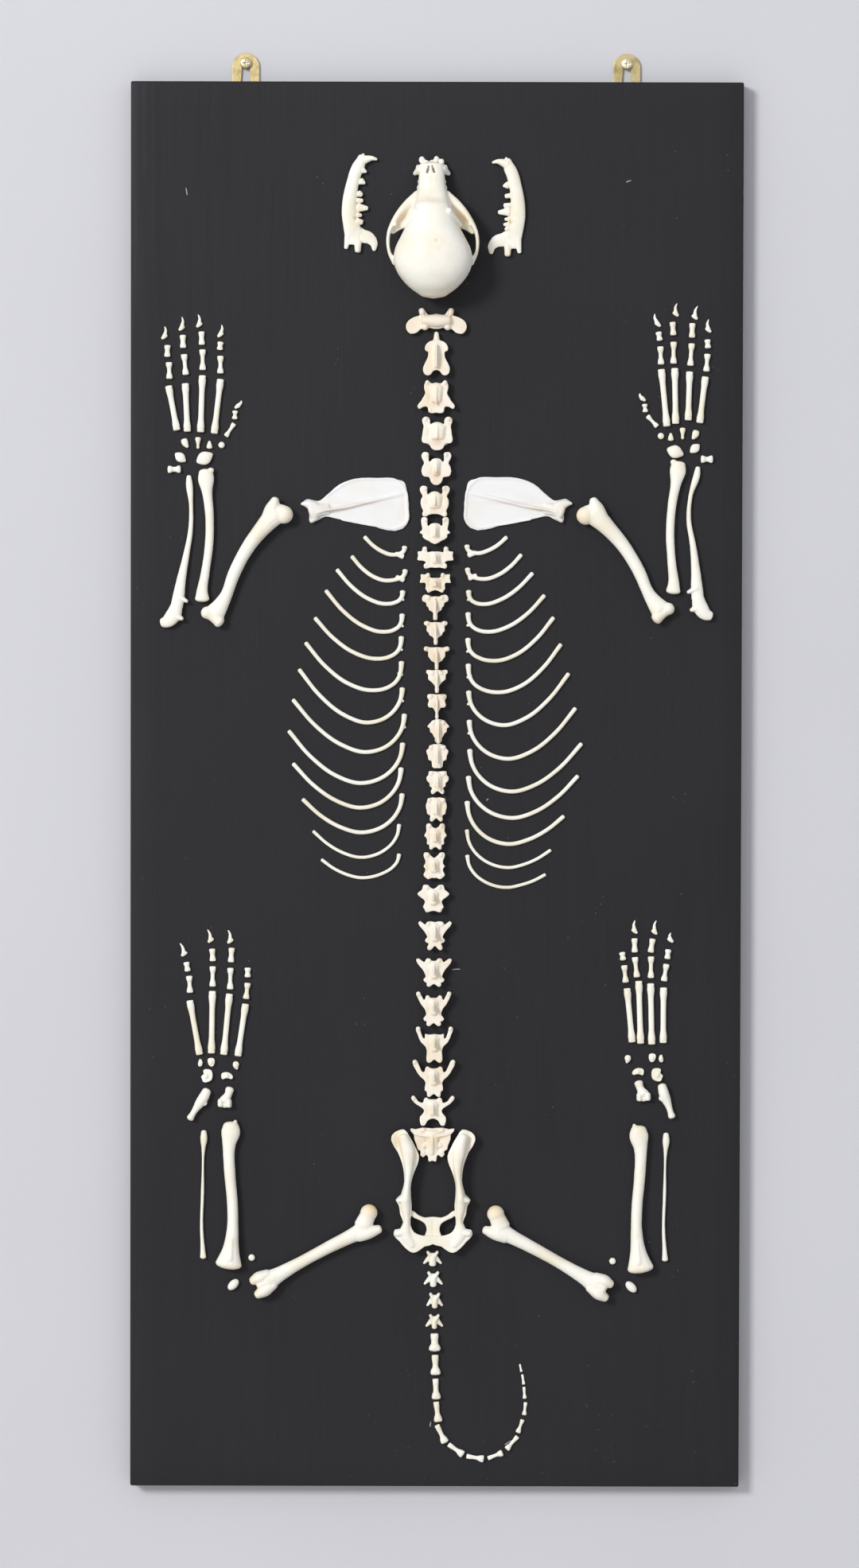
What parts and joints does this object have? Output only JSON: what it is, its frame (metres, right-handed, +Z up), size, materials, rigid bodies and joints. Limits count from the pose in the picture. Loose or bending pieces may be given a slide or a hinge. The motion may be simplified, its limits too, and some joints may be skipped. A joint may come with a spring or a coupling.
{
  "type": "mounted dog skeleton",
  "caption": "Skeleton of a small dog laid out bone by bone, as if seen from above, on a tall black board that hangs on a wall by brass keyhole plates.",
  "frame": {"origin": "in the wall plane, on the board's upright middle line, level with the two wall screws", "axes": "+X right as seen by a viewer, +Z up along the board, -Y out of the wall towards the viewer"},
  "size_m": [0.4, 0.0553, 0.9396],
  "materials": {
    "board": "matt black paint over wood, with faint upright grain and dust",
    "bone": "dry ivory bone, satin, a little yellower in hollows and at the joints",
    "brass": "worn yellow brass",
    "screw": "pale brass, cross recess"
  },
  "bodies": {
    "root": {"board": "board", "hanger_left": "brass", "hanger_right": "brass", "wall_screw_left": "screw", "wall_screw_right": "screw", "skull": "bone", "mandible_left": "bone", "mandible_right": "bone", "atlas": "bone", "axis": "bone", "cervical_3": "bone", "cervical_4": "bone", "cervical_5": "bone", "cervical_6": "bone", "cervical_7": "bone", "thoracic_1": "bone", "thoracic_2": "bone", "thoracic_3": "bone", "thoracic_4": "bone", "thoracic_5": "bone", "thoracic_6": "bone", "thoracic_7": "bone", "thoracic_8": "bone", "thoracic_9": "bone", "thoracic_10": "bone", "thoracic_11": "bone", "thoracic_12": "bone", "thoracic_13": "bone", "lumbar_1": "bone", "lumbar_2": "bone", "lumbar_3": "bone", "lumbar_4": "bone", "lumbar_5": "bone", "lumbar_6": "bone", "lumbar_7": "bone", "sacrum": "bone", "pelvis": "bone", "scapula_left": "bone", "scapula_right": "bone", "humerus_left": "bone", "humerus_right": "bone", "radius_left": "bone", "radius_right": "bone", "ulna_left": "bone", "ulna_right": "bone", "femur_left": "bone", "femur_right": "bone", "tibia_left": "bone", "tibia_right": "bone", "fibula_left": "bone", "fibula_right": "bone", "patella_left": "bone", "patella_right": "bone", "calcaneus_left": "bone", "calcaneus_right": "bone", "talus_left": "bone", "talus_right": "bone"}
  },
  "joints": []
}
